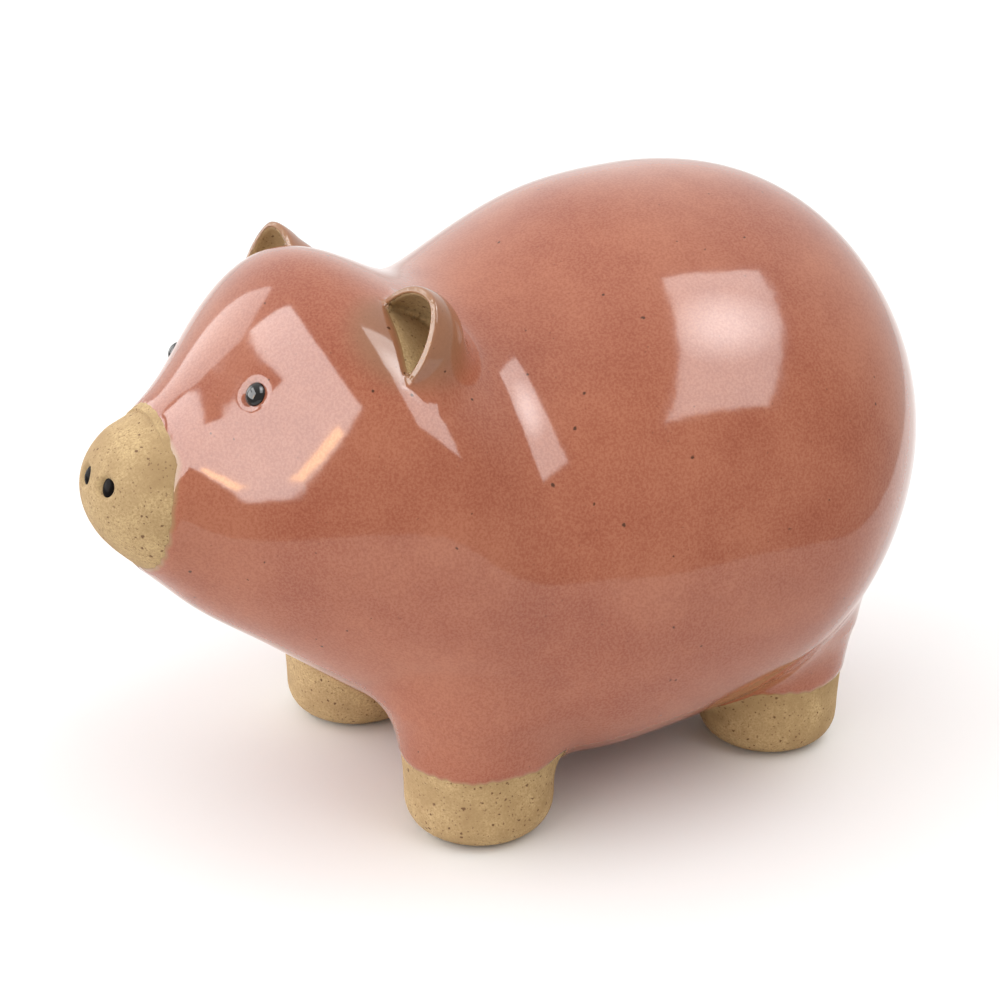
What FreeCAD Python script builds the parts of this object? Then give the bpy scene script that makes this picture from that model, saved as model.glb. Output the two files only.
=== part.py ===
import FreeCAD, Part
import math
import os

# Pig figurine in hollow glazed stoneware, in millimetres.
# Nose towards -Y, the pig's left side towards +X, feet on Z = 0,
# the origin under the middle of the whole figure.

# Torso: barrel, neck, head and snout in one sweep along Y
torso_length = 150.0        # snout tip to rump
torso_width = 103.0         # widest place of the barrel
back_height = 99.5          # floor to the top of the back
nose_round_length = 10.0    # stretch in which the snout closes
nose_fullness = 2.3         # power of the closing curve: 2 is an ellipse, more is blunter
nose_lean = 0.9             # how far the top of the snout's face stands ahead of its middle
nose_lean_length = 30.0     # stretch from the tip in which that lean fades out
rump_round_length = 45.0
rump_fullness = 2.09

# Sections of the torso, each an ellipse across the length: its place as a share of the length,
# its half width as a share of half the torso's width, and the heights of its top and its
# bottom as shares of the back's height
station_shares = (0.0, 0.047, 0.093, 0.167, 0.253, 0.32, 0.393, 0.473, 0.58, 0.733, 0.887, 1.0)
width_shares = (0.21, 0.252, 0.305, 0.507, 0.709, 0.81, 0.85, 0.92, 0.977, 1.0, 0.884, 0.773)
top_shares = (0.7, 0.725, 0.762, 0.873, 0.952, 0.923, 0.88, 0.912, 0.979, 1.0, 0.989, 0.918)
bottom_shares = (0.512, 0.482, 0.416, 0.332, 0.23, 0.155, 0.08, 0.028, 0.024, 0.067, 0.119, 0.151)

# Clay and glaze
clay_wall = 4.5             # wall of the hollow body
glaze = 0.5                 # thickness of the glaze coat
snout_length = 10.1         # snout tip to the joint, which is also where the glaze ends
snout_joint_lean = 3.0      # degrees, the joint's top leans away from the tip
vent_bore = 3.2             # vent hole in the belly
vent_place_share = 0.587    # snout tip to the vent hole, as a share of the torso's length
air_bore = 3.0              # air hole between the body and each leg

# Legs: turned stubs with a rounded foot, widening towards the body
front_leg_side_share = 0.454    # middle plane to the centre line, as a share of half the width
front_leg_place_share = 0.376   # snout tip to the centre line, as a share of the torso's length
front_leg_radius = 12.8
rear_leg_side_share = 0.421
rear_leg_place_share = 0.773
rear_leg_radius = 12.6
leg_waist = 24.0            # floor to the widest ring of the leg
leg_height = 42.0           # floor to the top of the turned form, inside the body
leg_wall = 4.5
leg_spread_share = 0.17     # how much wider the widest ring is than the foot
foot_flat_share = 0.62      # flat of the sole, as a share of the leg's radius
foot_rise_share = 0.44      # height of the foot's rounded edge, as a share of the leg's radius
round_share = 0.5523        # handles of a four-point curve that draws a quarter of an ellipse
glaze_line = 14.0           # floor to the lower edge of the glaze on the legs

# Ears: pointed cups, cut open at the front, leaning outwards and back
ear_side_share = 0.402      # foot of the ear's axis, as a share of half the torso's width
ear_place_share = 0.291     # snout tip to that foot, as a share of the torso's length
ear_sink = 5.6              # how deep that foot lies inside the head
ear_height = 12.8           # along the axis
ear_width = 17.2            # across the cup
ear_depth = 16.7            # front to back of the whole cup
ear_wall = 2.0
ear_rim_place = 1.3         # how far the rim stands ahead of the axis
ear_out_turn = 32.5         # degrees that the axis leans outwards
ear_back_turn = 6.0         # degrees that the axis leans back
ear_face_turn = 20.0        # degrees that the opening turns towards the middle plane
ear_level_shares = (0.0, 0.25, 0.45, 0.62, 0.76, 0.87, 0.95)
ear_girth_shares = (1.0, 0.96, 0.87, 0.74, 0.58, 0.41, 0.23)

# Eyes and nostrils: beads of black glaze in sockets
eye_side_share = 0.295
eye_place_share = 0.155
eye_radius = 2.1
eye_sink = 1.1              # how far the bead's centre lies under the glaze
nostril_side_share = 0.0757
nostril_height_share = 0.646
nostril_radius = 1.75
nostril_sink = 1.25         # how far the bead's centre lies behind the face
nostril_narrow_share = 0.85 # width of a nostril against its height
bead_gap = 0.05             # clearance between a bead and its socket

# Tail: a short curl that lies on the rump
tail_stand = 3.2            # how far the tail stands out behind the rump
tail_radius = 2.1
tail_height_share = 0.633   # floor to the middle of the curl, as a share of the back's height
tail_curl_radius = 5.6      # first turn of the curl, along the middle of the roll
tail_turn_share = 0.7       # second turn against the first
tail_tip_share = 0.36       # last turn against the first
tail_taper_share = 0.35     # how much thinner the roll is at its tip
tail_lean = 16.0            # degrees, the curl lies back against the rump

# How finely the swept forms are drawn
ring_points = 12
torso_rings = 24
tail_rings = 20

whole_length = torso_length + tail_stand
tip_y = -whole_length / 2
half_width = torso_width / 2


def natural_spline(stations, values):
    """A smooth curve through the given values, straight at both ends."""
    count = len(stations)
    steps = [stations[i + 1] - stations[i] for i in range(count - 1)]
    slopes = [(values[i + 1] - values[i]) / steps[i] for i in range(count - 1)]
    bends = [0.0] * count
    carry = [0.0] * count
    for i in range(1, count - 1):
        diagonal = 2 * (steps[i - 1] + steps[i]) - steps[i - 1] * carry[i - 1]
        carry[i] = steps[i] / diagonal
        bends[i] = (6 * (slopes[i] - slopes[i - 1]) - steps[i - 1] * bends[i - 1]) / diagonal
    for i in range(count - 2, 0, -1):
        bends[i] -= carry[i] * bends[i + 1]

    def value(at):
        i = 0
        while i < count - 2 and at > stations[i + 1]:
            i += 1
        step = steps[i]
        left = stations[i + 1] - at
        right = at - stations[i]
        curved = (bends[i] * left ** 3 + bends[i + 1] * right ** 3) / (6 * step)
        straight_left = (values[i] / step - bends[i] * step / 6) * left
        straight_right = (values[i + 1] / step - bends[i + 1] * step / 6) * right
        return curved + straight_left + straight_right

    return value


width_at = natural_spline(station_shares, width_shares)
top_at = natural_spline(station_shares, top_shares)
bottom_at = natural_spline(station_shares, bottom_shares)


def closing(into, fullness):
    """How much of a section is left, at a share of the way into a rounded end."""
    share = min(1.0, max(0.0, into))
    return (1 - share ** fullness) ** (1 / fullness)


def torso_section(reach, inset):
    """Half width, half depth and middle height of the torso, reach behind the bare snout's tip.

    The surface is moved inwards by inset, where 0 is the glaze and its thickness is the clay."""
    along = reach / torso_length
    left = closing((nose_round_length + inset - glaze - reach) / nose_round_length, nose_fullness)
    left *= closing((reach - torso_length + inset) / rump_round_length + 1, rump_fullness)
    top = back_height * top_at(along)
    bottom = back_height * bottom_at(along)
    wide = (half_width * width_at(along) - inset) * left
    deep = ((top - bottom) / 2 - inset) * left
    return wide, deep, (top + bottom) / 2


def lean_at(reach, up):
    """How far a point of the snout stands ahead of its section, up above the middle."""
    left = max(0.0, 1 - reach / nose_lean_length)
    snout_depth = back_height * (top_shares[0] - bottom_shares[0]) / 2
    return nose_lean * left * left * up / snout_depth


def smooth_ring(points):
    curve = Part.BSplineCurve()
    curve.interpolate(Points=points, PeriodicFlag=True)
    return Part.Wire(curve.toShape())


def torso_ring(reach, inset):
    wide, deep, middle = torso_section(reach, inset)
    points = []
    for k in range(ring_points):
        turn = 2 * math.pi * k / ring_points - math.pi / 2
        up = deep * math.sin(turn)
        ahead = lean_at(reach, up)
        points.append(FreeCAD.Vector(wide * math.cos(turn), tip_y + reach - ahead, middle + up))
    return smooth_ring(points)


def torso(inset):
    """The torso's closed form, its surface moved inwards by inset."""
    first = inset - glaze
    last = torso_length - inset
    rings = []
    for k in range(1, torso_rings):
        share = (1 - math.cos(math.pi * k / torso_rings)) / 2
        rings.append(torso_ring(first + (last - first) * share, inset))
    tip = Part.Vertex(0, tip_y + first, torso_section(first, inset)[2])
    rump = Part.Vertex(0, tip_y + last, torso_section(last, inset)[2])
    return Part.makeLoft([tip] + rings + [rump], True, False)


def shell_between(outer, inner):
    """The wall between two closed forms that don't touch."""
    return Part.makeSolid(Part.makeCompound([outer.Shells[0], inner.Shells[0].reversed()]))


def snout_side():
    """A block that holds everything ahead of the snout joint."""
    side = 2 * back_height
    block = Part.makeBox(side, torso_length, side, FreeCAD.Vector(-side / 2, -torso_length, -side / 2))
    middle = torso_section(snout_length, 0)[2]
    block.rotate(FreeCAD.Vector(0, 0, 0), FreeCAD.Vector(1, 0, 0), -snout_joint_lean)
    block.translate(FreeCAD.Vector(0, tip_y + snout_length, middle))
    return block


def leg_outline(radius, bottom):
    """Foot edge, widening side and rounded top of a leg, drawn beside its axis."""
    flat = radius * foot_flat_share
    rise = bottom + radius * foot_rise_share
    widest = radius * (1 + leg_spread_share)
    foot_grip = round_share * (radius - flat)
    rise_grip = round_share * (rise - bottom)
    top_grip = round_share * (leg_height - leg_waist)
    half_way = (rise + leg_waist) / 2
    turns = (
        ((flat, bottom), (flat + foot_grip, bottom), (radius, rise - rise_grip), (radius, rise)),
        ((radius, rise), (radius, half_way), (widest, leg_waist)),
        ((widest, leg_waist), (widest, leg_waist + top_grip),
         (widest * round_share, leg_height), (0, leg_height)),
    )
    edges = []
    for turn in turns:
        curve = Part.BezierCurve()
        curve.setPoles([FreeCAD.Vector(across, 0, up) for across, up in turn])
        edges.append(curve.toShape())
    return edges


def leg_form(radius, bottom):
    """A leg's turned form, standing on the given height."""
    edges = leg_outline(radius, bottom)
    foot = FreeCAD.Vector(0, 0, bottom)
    sole = Part.makeLine(foot, FreeCAD.Vector(radius * foot_flat_share, 0, bottom))
    axis = Part.makeLine(FreeCAD.Vector(0, 0, leg_height), foot)
    face = Part.Face(Part.Wire([sole] + edges + [axis]))
    return face.revolve(FreeCAD.Vector(0, 0, 0), FreeCAD.Vector(0, 0, 1), 360)


def on_top(side_share, place_share):
    """A place on the torso's upper side, and its slope there."""
    across = half_width * side_share
    reach = torso_length * place_share
    wide, deep, middle = torso_section(reach, 0)
    up = deep * math.sqrt(1 - (across / wide) ** 2)
    slope = FreeCAD.Vector(across / wide ** 2, 0, up / deep ** 2).normalize()
    return FreeCAD.Vector(across, tip_y + reach, middle + up), slope


def above_glaze_line():
    side = 2 * leg_height
    return Part.makeBox(side, side, side, FreeCAD.Vector(-side / 2, -side / 2, glaze_line))


def leg_forms(radius):
    """Outer form, hollow and glaze skin of a leg, on the axis Z."""
    outer = leg_form(radius, 0)
    hollow = leg_form(radius - leg_wall, leg_wall)
    skin = leg_form(radius + glaze, 0).common(above_glaze_line()).cut(outer)
    return outer, hollow, skin


def ear_cup(inset):
    """A pointed cup on the axis Z, its surface moved inwards by inset."""
    rings = []
    for level, girth in zip(ear_level_shares, ear_girth_shares):
        wide = (ear_width / 2) * girth - inset * math.sqrt(girth)
        deep = (ear_depth / 2) * girth - inset * math.sqrt(girth)
        points = []
        for k in range(ring_points):
            turn = 2 * math.pi * k / ring_points + math.pi / 2
            height = (ear_height - inset) * level
            points.append(FreeCAD.Vector(wide * math.cos(turn), deep * math.sin(turn), height))
        rings.append(smooth_ring(points))
    return Part.makeLoft(rings + [Part.Vertex(0, 0, ear_height - inset)], True, False)


def ear_front():
    """Everything ahead of the ear's rim."""
    side = 2 * ear_height
    return Part.makeBox(side, side, side, FreeCAD.Vector(-side / 2, -side - ear_rim_place, -side / 2))


def set_left_ear(shape):
    """Turn an ear from its own axis onto the left side of the head."""
    here = FreeCAD.Vector(0, 0, 0)
    placed = shape.copy()
    placed.rotate(here, FreeCAD.Vector(0, 0, 1), -ear_face_turn)
    placed.rotate(here, FreeCAD.Vector(1, 0, 0), -ear_back_turn)
    placed.rotate(here, FreeCAD.Vector(0, 1, 0), ear_out_turn)
    place = on_top(ear_side_share, ear_place_share)[0]
    placed.translate(place - FreeCAD.Vector(0, 0, ear_sink))
    return placed


def mirrored(shape):
    return shape.mirror(FreeCAD.Vector(0, 0, 0), FreeCAD.Vector(1, 0, 0))


def snout_face_reach(across, height):
    """Reach of the snout's bare face at a place on it, found by halving."""
    low = 0.0
    high = nose_round_length
    for step in range(40):
        reach = (low + high) / 2
        wide, deep, middle = torso_section(reach, glaze)
        up = height - middle
        outside = (across / wide) ** 2 + (up / deep) ** 2 > 1
        low, high = (reach, high) if outside else (low, reach)
    return reach - lean_at(reach, up)


def nostril_place():
    across = half_width * nostril_side_share
    height = back_height * nostril_height_share
    reach = snout_face_reach(across, height) + nostril_sink
    return FreeCAD.Vector(across, tip_y + reach, height)


def eye_bead(gap):
    """A round bead, sunk under the glaze along the head's slope."""
    place, slope = on_top(eye_side_share, eye_place_share)
    return Part.makeSphere(eye_radius + gap, place - slope * eye_sink, slope)


def nostril_bead(gap):
    """An upright bead, narrower than it is high."""
    squeeze = FreeCAD.Matrix()
    squeeze.scale(nostril_narrow_share, nostril_narrow_share, 1)
    bead = Part.makeSphere(nostril_radius + gap).transformGeometry(squeeze)
    bead.translate(nostril_place())
    return bead


def curl_place(run):
    """Place and heading, across and up, after a run along the tail's curl of three arcs."""
    second = tail_curl_radius * tail_turn_share
    last = tail_curl_radius * tail_tip_share
    low = second - tail_curl_radius
    turn = math.pi / 2
    for middle_x, middle_z, radius, sweep in (
            (0, 0, tail_curl_radius, math.pi), (0, low, second, math.pi / 2),
            (second - last, low, last, math.pi)):
        part = min(sweep, max(0.0, run / radius))
        spare = run - part * radius
        ending = part < sweep or spare <= 0 or radius == last
        if ending:
            spare = spare if spare < 0 or radius == last else 0.0
            turn += part
            across = middle_x + radius * math.cos(turn) - spare * math.sin(turn)
            up = middle_z + radius * math.sin(turn) + spare * math.cos(turn)
            return across, up, turn
        turn += sweep
        run -= sweep * radius


def tail_roll(swell):
    """A tapering roll along the curl with rounded ends, its surface moved outwards by swell."""
    length = tail_curl_radius * math.pi * (1 + tail_turn_share / 2 + tail_tip_share / 2)
    start = -tail_radius - swell
    span = length - 2 * start
    rings = []
    for k in range(1, tail_rings):
        share = (1 - math.cos(math.pi * k / tail_rings)) / 2
        run = start + span * share
        across, up, turn = curl_place(run)
        full = tail_radius * (1 - tail_taper_share * share) + swell
        end_gap = max(0.0, full - (run - start), full - (start + span - run))
        radius = math.sqrt(full ** 2 - end_gap ** 2)
        middle = FreeCAD.Vector(across, 0, up)
        beside = FreeCAD.Vector(math.cos(turn), 0, math.sin(turn)) * radius
        behind = FreeCAD.Vector(0, radius, 0)
        back_half = Part.Arc(middle + beside, middle + behind, middle - beside).toShape()
        body_half = Part.Arc(middle - beside, middle - behind, middle + beside).toShape()
        rings.append(Part.Wire([back_half, body_half]))
    ends = []
    for run in (start, start + span):
        across, up, turn = curl_place(run)
        ends.append(Part.Vertex(across, 0, up))
    roll = Part.makeLoft([ends[0]] + rings + [ends[1]], True, False)
    roll.rotate(FreeCAD.Vector(0, 0, 0), FreeCAD.Vector(1, 0, 0), tail_lean)
    lowest_run = tail_curl_radius * math.pi
    lowest_radius = tail_radius * (1 - tail_taper_share * lowest_run / length) + glaze
    back = lowest_radius + tail_curl_radius * math.sin(math.radians(tail_lean))
    roll.translate(FreeCAD.Vector(0, whole_length / 2 - back, back_height * tail_height_share))
    return roll


def only_largest(shape):
    """The main solid of a cut, without slivers."""
    return max(shape.Solids, key=lambda solid: solid.Volume)


nodes = {}

# The clay body, hollow, parted at the snout joint
glazed_form = torso(0)
clay_form = torso(glaze)
inside = torso(glaze + clay_wall)
snout_block = snout_side()
eyes = [eye_bead(bead_gap), mirrored(eye_bead(bead_gap))]
nostrils = [nostril_bead(bead_gap), mirrored(nostril_bead(bead_gap))]

# Legs, with their hollows open to the body through the air holes
leg_places = {
    "front": (front_leg_side_share, front_leg_place_share, front_leg_radius),
    "rear": (rear_leg_side_share, rear_leg_place_share, rear_leg_radius),
}
leg_solids = []
air_holes = []
for name, (side_share, place_share, leg_radius) in leg_places.items():
    place = FreeCAD.Vector(half_width * side_share, tip_y + torso_length * place_share, 0)
    outer, hollow, skin = leg_forms(leg_radius)
    for form in (outer, hollow, skin):
        form.translate(place)
    nodes[name + "_left_leg"] = only_largest(outer.cut(hollow).cut(clay_form))
    nodes[name + "_left_leg_glaze"] = only_largest(skin.cut(glazed_form))
    air_hole = Part.makeCylinder(air_bore / 2, leg_height, place + FreeCAD.Vector(0, 0, leg_wall))
    leg_solids += [outer, mirrored(outer)]
    air_holes += [air_hole, mirrored(air_hole)]

# Ears
cup = ear_cup(0)
ear = set_left_ear(cup.cut(ear_cup(ear_wall)).cut(ear_front()))
ear_skin = set_left_ear(ear_cup(-glaze).cut(cup).cut(ear_front()))
nodes["left_ear"] = only_largest(ear.cut(clay_form))
nodes["left_ear_glaze"] = only_largest(ear_skin.cut(glazed_form))

# The right side's legs and ears mirror the left side's
for name in list(nodes):
    nodes[name.replace("left", "right")] = mirrored(nodes[name])

# Tail
roll = tail_roll(0)
nodes["tail"] = only_largest(roll.cut(clay_form))
nodes["tail_glaze"] = only_largest(tail_roll(glaze).cut(roll).cut(glazed_form))

# Body, snout and the glaze of the body
vent_place = FreeCAD.Vector(0, tip_y + torso_length * vent_place_share, 0)
vent = Part.makeCylinder(vent_bore / 2, back_height / 2, vent_place)
hollow_body = shell_between(clay_form, inside)
nodes["body_shell"] = only_largest(hollow_body.cut([snout_block, vent] + eyes + air_holes))
nodes["snout"] = only_largest(hollow_body.common(snout_block).cut(nostrils))
coat = shell_between(glazed_form, clay_form)
for form in eyes + leg_solids + [snout_block, vent, ear, mirrored(ear), roll]:
    coat = coat.cut(form)
nodes["body_glaze"] = only_largest(coat)

# Beads
nodes["left_eye"] = eye_bead(0)
nodes["right_eye"] = mirrored(eye_bead(0))
nodes["left_nostril"] = nostril_bead(0)
nodes["right_nostril"] = mirrored(nostril_bead(0))

os.makedirs("parts", exist_ok=True)
for name, shape in nodes.items():
    shape.exportStep("parts/" + name + ".step")
    box = shape.BoundBox
    print(name, shape.isValid(), len(shape.Solids), round(shape.Volume, 1),
          [round(v, 2) for v in (box.XMin, box.XMax, box.YMin, box.YMax, box.ZMin, box.ZMax)])
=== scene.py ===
import bpy
import math
import numpy as np
from mathutils import Matrix, Quaternion, Vector


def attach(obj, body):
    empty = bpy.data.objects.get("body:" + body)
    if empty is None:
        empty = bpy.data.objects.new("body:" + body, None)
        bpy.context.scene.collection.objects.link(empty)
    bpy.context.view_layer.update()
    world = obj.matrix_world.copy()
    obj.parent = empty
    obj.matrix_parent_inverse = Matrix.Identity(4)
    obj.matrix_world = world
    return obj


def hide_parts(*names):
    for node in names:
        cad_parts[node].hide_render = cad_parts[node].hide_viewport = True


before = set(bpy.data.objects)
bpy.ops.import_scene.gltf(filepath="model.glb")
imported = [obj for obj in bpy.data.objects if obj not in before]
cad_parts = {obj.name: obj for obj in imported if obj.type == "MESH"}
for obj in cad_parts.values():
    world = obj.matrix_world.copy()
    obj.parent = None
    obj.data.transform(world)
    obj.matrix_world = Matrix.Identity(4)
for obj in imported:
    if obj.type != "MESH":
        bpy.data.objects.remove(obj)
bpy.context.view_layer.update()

# Pig figurine in glazed stoneware. Nose towards -Y, the pig's left side towards +X, up +Z.
# Shapes are worked out in millimetres and written into the meshes in metres.
mm = 0.001
tiny, tinySquare = 1e-6, 1e-9
farAway = 1e3

torsoSet = {
    "length": 150.0, "tail": 3.2, "width": 103.0, "back": 99.5,
    "noseRound": 10.0, "noseFull": 2.3, "noseLean": 0.9, "leanLength": 30.0, "leanMost": 2.0,
    "rumpRound": 45.0, "rumpFull": 2.09,
    "places": (0.0, 0.047, 0.093, 0.167, 0.253, 0.32, 0.393, 0.473, 0.58, 0.733, 0.887, 1.0),
    "widths": (0.21, 0.252, 0.305, 0.507, 0.709, 0.81, 0.85, 0.92, 0.977, 1.0, 0.884, 0.773),
    "tops": (0.7, 0.725, 0.762, 0.873, 0.952, 0.923, 0.88, 0.912, 0.979, 1.0, 0.989, 0.918),
    "bottoms": (0.512, 0.482, 0.416, 0.332, 0.23, 0.155, 0.08, 0.028, 0.024, 0.067, 0.119, 0.151),
}
tipY = -(torsoSet["length"] + torsoSet["tail"]) / 2


def naturalSpline(places, values):
    # the smooth curve of cubic pieces through the values, with no bend at its two ends
    x = np.array(places)
    v = np.array(values)
    h = np.diff(x)
    n = len(x)
    m = np.eye(n)
    r = np.zeros(n)
    i = np.arange(1, n - 1)
    m[i, i - 1] = h[:-1]
    m[i, i] = 2 * (h[:-1] + h[1:])
    m[i, i + 1] = h[1:]
    r[1:-1] = 6 * (np.diff(v)[1:] / h[1:] - np.diff(v)[:-1] / h[:-1])
    bend = np.linalg.solve(m, r)

    def at(s):
        # the curve's value and slope at each place
        k = np.clip(np.searchsorted(x, s) - 1, 0, n - 2)
        a, b, w = x[k + 1] - s, s - x[k], h[k]
        p, q = v[k] / w - bend[k] * w / 6, v[k + 1] / w - bend[k + 1] * w / 6
        value = (bend[k] * a ** 3 + bend[k + 1] * b ** 3) / (6 * w) + p * a + q * b
        slope = (bend[k + 1] * b ** 2 - bend[k] * a ** 2) / (2 * w) - p + q
        return value, slope

    return at


widthAt = naturalSpline(torsoSet["places"], torsoSet["widths"])
topAt = naturalSpline(torsoSet["places"], torsoSet["tops"])
bottomAt = naturalSpline(torsoSet["places"], torsoSet["bottoms"])


def torsoField(p):
    # rough distance to the torso: an ellipse across the length whose size follows the splines,
    # closed at both ends by a power curve, divided by the length of its gradient
    t = torsoSet
    x, z = p[:, 0], p[:, 2]
    reach = p[:, 1] - tipY
    share = np.clip(reach / t["length"], 0, 1)
    top, bottom = topAt(share)[0], bottomAt(share)[0]
    middle = t["back"] * (top + bottom) / 2
    fade = np.clip(1 - reach / t["leanLength"], 0, 1)
    snoutHigh = t["back"] * (t["tops"][0] - t["bottoms"][0]) / 2
    reach = reach + t["noseLean"] * fade * fade * np.clip((z - middle) / snoutHigh, -t["leanMost"], t["leanMost"])
    share = np.clip(reach / t["length"], 0, 1)
    wide, wideSlope = widthAt(share)
    top, topSlope = topAt(share)
    bottom, bottomSlope = bottomAt(share)
    a, da = t["width"] / 2 * wide, t["width"] / 2 * wideSlope / t["length"]
    b, db = t["back"] * (top - bottom) / 2, t["back"] * (topSlope - bottomSlope) / 2 / t["length"]
    c, dc = t["back"] * (top + bottom) / 2, t["back"] * (topSlope + bottomSlope) / 2 / t["length"]
    up = z - c
    rho = np.sqrt((x / a) ** 2 + (up / b) ** 2) + tiny
    nose = np.clip(1 - reach / t["noseRound"], 0, None)
    rump = np.clip((reach - t["length"]) / t["rumpRound"] + 1, 0, None)
    into = nose + rump
    full = np.where(nose > 0, t["noseFull"], t["rumpFull"])
    size = (rho ** full + into ** full) ** (1 / full)
    byRho = (rho / size) ** (full - 1)
    byInto = (into / size) ** (full - 1) * np.where(nose > 0, -1 / t["noseRound"], 1 / t["rumpRound"])
    rhoY = -((x / a) ** 2 * da / a + (up / b) ** 2 * db / b + up * dc / b ** 2) / rho
    gx, gz, gy = byRho * x / a ** 2 / rho, byRho * up / b ** 2 / rho, byRho * rhoY + byInto
    return (size - 1) / np.sqrt(gx ** 2 + gy ** 2 + gz ** 2 + tinySquare)


legSet = {
    "places": {"front_left": (23.4, 56.4, 12.8), "front_right": (-23.4, 56.4, 12.8),
               "rear_left": (21.7, 116.0, 12.6), "rear_right": (-21.7, 116.0, 12.6)},
    "waist": 24.0, "height": 42.0, "spread": 0.17, "flat": 0.62, "rise": 0.44, "leastCap": 0.02,
    "blend": 5.0, "middle": 20.0, "near": 45.0, "glazeLine": 14.0,
}


def legField(p, place):
    # distance to a turned leg: a flat sole with an elliptical edge, a side that widens upwards
    # with the square of the height, and a rounded top
    lx, reach, radius = place
    s = legSet
    out = np.hypot(p[:, 0] - lx, p[:, 1] - tipY - reach)
    z = p[:, 2]
    flat, rise = s["flat"] * radius, s["rise"] * radius
    edge = radius - flat
    q, w = np.clip(out - flat, 0, None) / edge, np.clip((rise - z) / rise, 0, None)
    size = np.sqrt(q ** 2 + w ** 2) + tiny
    foot = (size - 1) * size / np.sqrt((q / edge) ** 2 + (w / rise) ** 2 + tinySquare)
    up = np.clip((z - rise) / (s["waist"] - rise), 0, 1)
    above = np.clip(z - s["waist"], 0, None) / (s["height"] - s["waist"])
    cap = np.sqrt(np.clip(1 - above ** 2, s["leastCap"], 1))
    slope = 2 * s["spread"] * radius * up / (s["waist"] - rise)
    side = (out - radius * (1 + s["spread"] * up ** 2) * cap) / np.sqrt(1 + slope ** 2)
    return np.where(z < rise, foot, np.maximum(side, z - s["height"]))


earSet = {
    "left": {"foot": (20.5, -31.5, 83.7), "height": 12.9, "width": 17.8, "depth": 18.0,
             "out": 34.8, "back": 3.0, "face": 19.8, "rim": 1.3, "point": 2.34,
             "rimLean": 0.32, "rimTurn": -0.15},
    "right": {"foot": (21.0, -34.2, 81.8), "height": 12.6, "width": 16.7, "depth": 15.5,
              "out": 30.5, "back": 8.5, "face": 20.0, "rim": 1.3, "point": 1.85,
              "rimLean": 0.2, "rimTurn": 0.0},
    "wall": 1.9, "round": 1.55, "rimRound": 1.0, "blend": 5.0, "crisp": 0.5, "reachBack": 5.0,
    "leastWall": 1.3, "near": 32.0,
}


def earLocal(p, side):
    # places seen from an ear: across, front to back and along its axis
    e = earSet[side]
    q = p * np.array([1.0 if side == "left" else -1.0, 1.0, 1.0]) - np.array(e["foot"])
    turn = (Matrix.Rotation(math.radians(e["out"]), 3, "Y") @ Matrix.Rotation(math.radians(-e["back"]), 3, "X")
            @ Matrix.Rotation(math.radians(-e["face"]), 3, "Z"))
    return q @ np.array(turn)


def cupField(q, e, inset):
    # distance to a pointed cup: the ellipse's share to one power plus the height's share to another
    a, b, h = e["width"] / 2 - inset, e["depth"] / 2 - inset, e["height"] - inset
    m, n = earSet["round"], e["point"]
    rho = np.sqrt((q[:, 0] / a) ** 2 + (q[:, 1] / b) ** 2) + tiny
    level = np.clip(q[:, 2] / h, 0, None)
    value = rho ** m + level ** n - 1
    across = m * rho ** (m - 2) * np.hypot(q[:, 0] / a ** 2, q[:, 1] / b ** 2)
    along = n * np.clip(level, tiny, None) ** (n - 1) / h
    return value / np.sqrt(across ** 2 + along ** 2 + tinySquare)


def hollowField(q, e):
    # the ear's hollow: the smaller cup, kept a wall's least thickness inside the outer one
    return np.maximum(cupField(q, e, earSet["wall"]), cupField(q, e, 0) + earSet["leastWall"])


def rimPlane(q, e):
    # how far a place lies behind the ear's rim, a plane that leans with the height and turns sideways
    return q[:, 1] + e["rim"] - e["rimLean"] * (q[:, 2] - e["height"] / 2) + e["rimTurn"] * q[:, 0]


def smoothStep(t):
    # a share from 0 to 1 with no slope at its two ends
    t = np.clip(t, 0, 1)
    return t * t * (3 - 2 * t)


def smoothMin(a, b, k):
    # the smaller of two distances, with a fillet of about k where they meet
    h = np.clip(k - np.abs(a - b), 0, None) / k
    return np.minimum(a, b) - h * h * k / 4


def smoothMax(a, b, k):
    # the larger of two distances, with a fillet of about k where they meet
    return -smoothMin(-a, -b, k)


tailSet = {"z": 63.0, "curl": 5.6, "turn": 0.7, "tip": 0.36, "radius": 2.1, "taper": 0.35,
           "lean": 16.0, "glaze": 0.5, "blend": 1.6, "near": 16.0}
tailLength = tailSet["curl"] * math.pi * (1 + tailSet["turn"] / 2 + tailSet["tip"] / 2)
lowestShare = tailSet["curl"] * math.pi / tailLength
tailBack = (tailSet["radius"] * (1 - tailSet["taper"] * lowestShare) + tailSet["glaze"]
            + tailSet["curl"] * math.sin(math.radians(tailSet["lean"])))
tailMiddle = np.array([0.0, -tipY - tailBack, tailSet["z"]])


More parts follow.
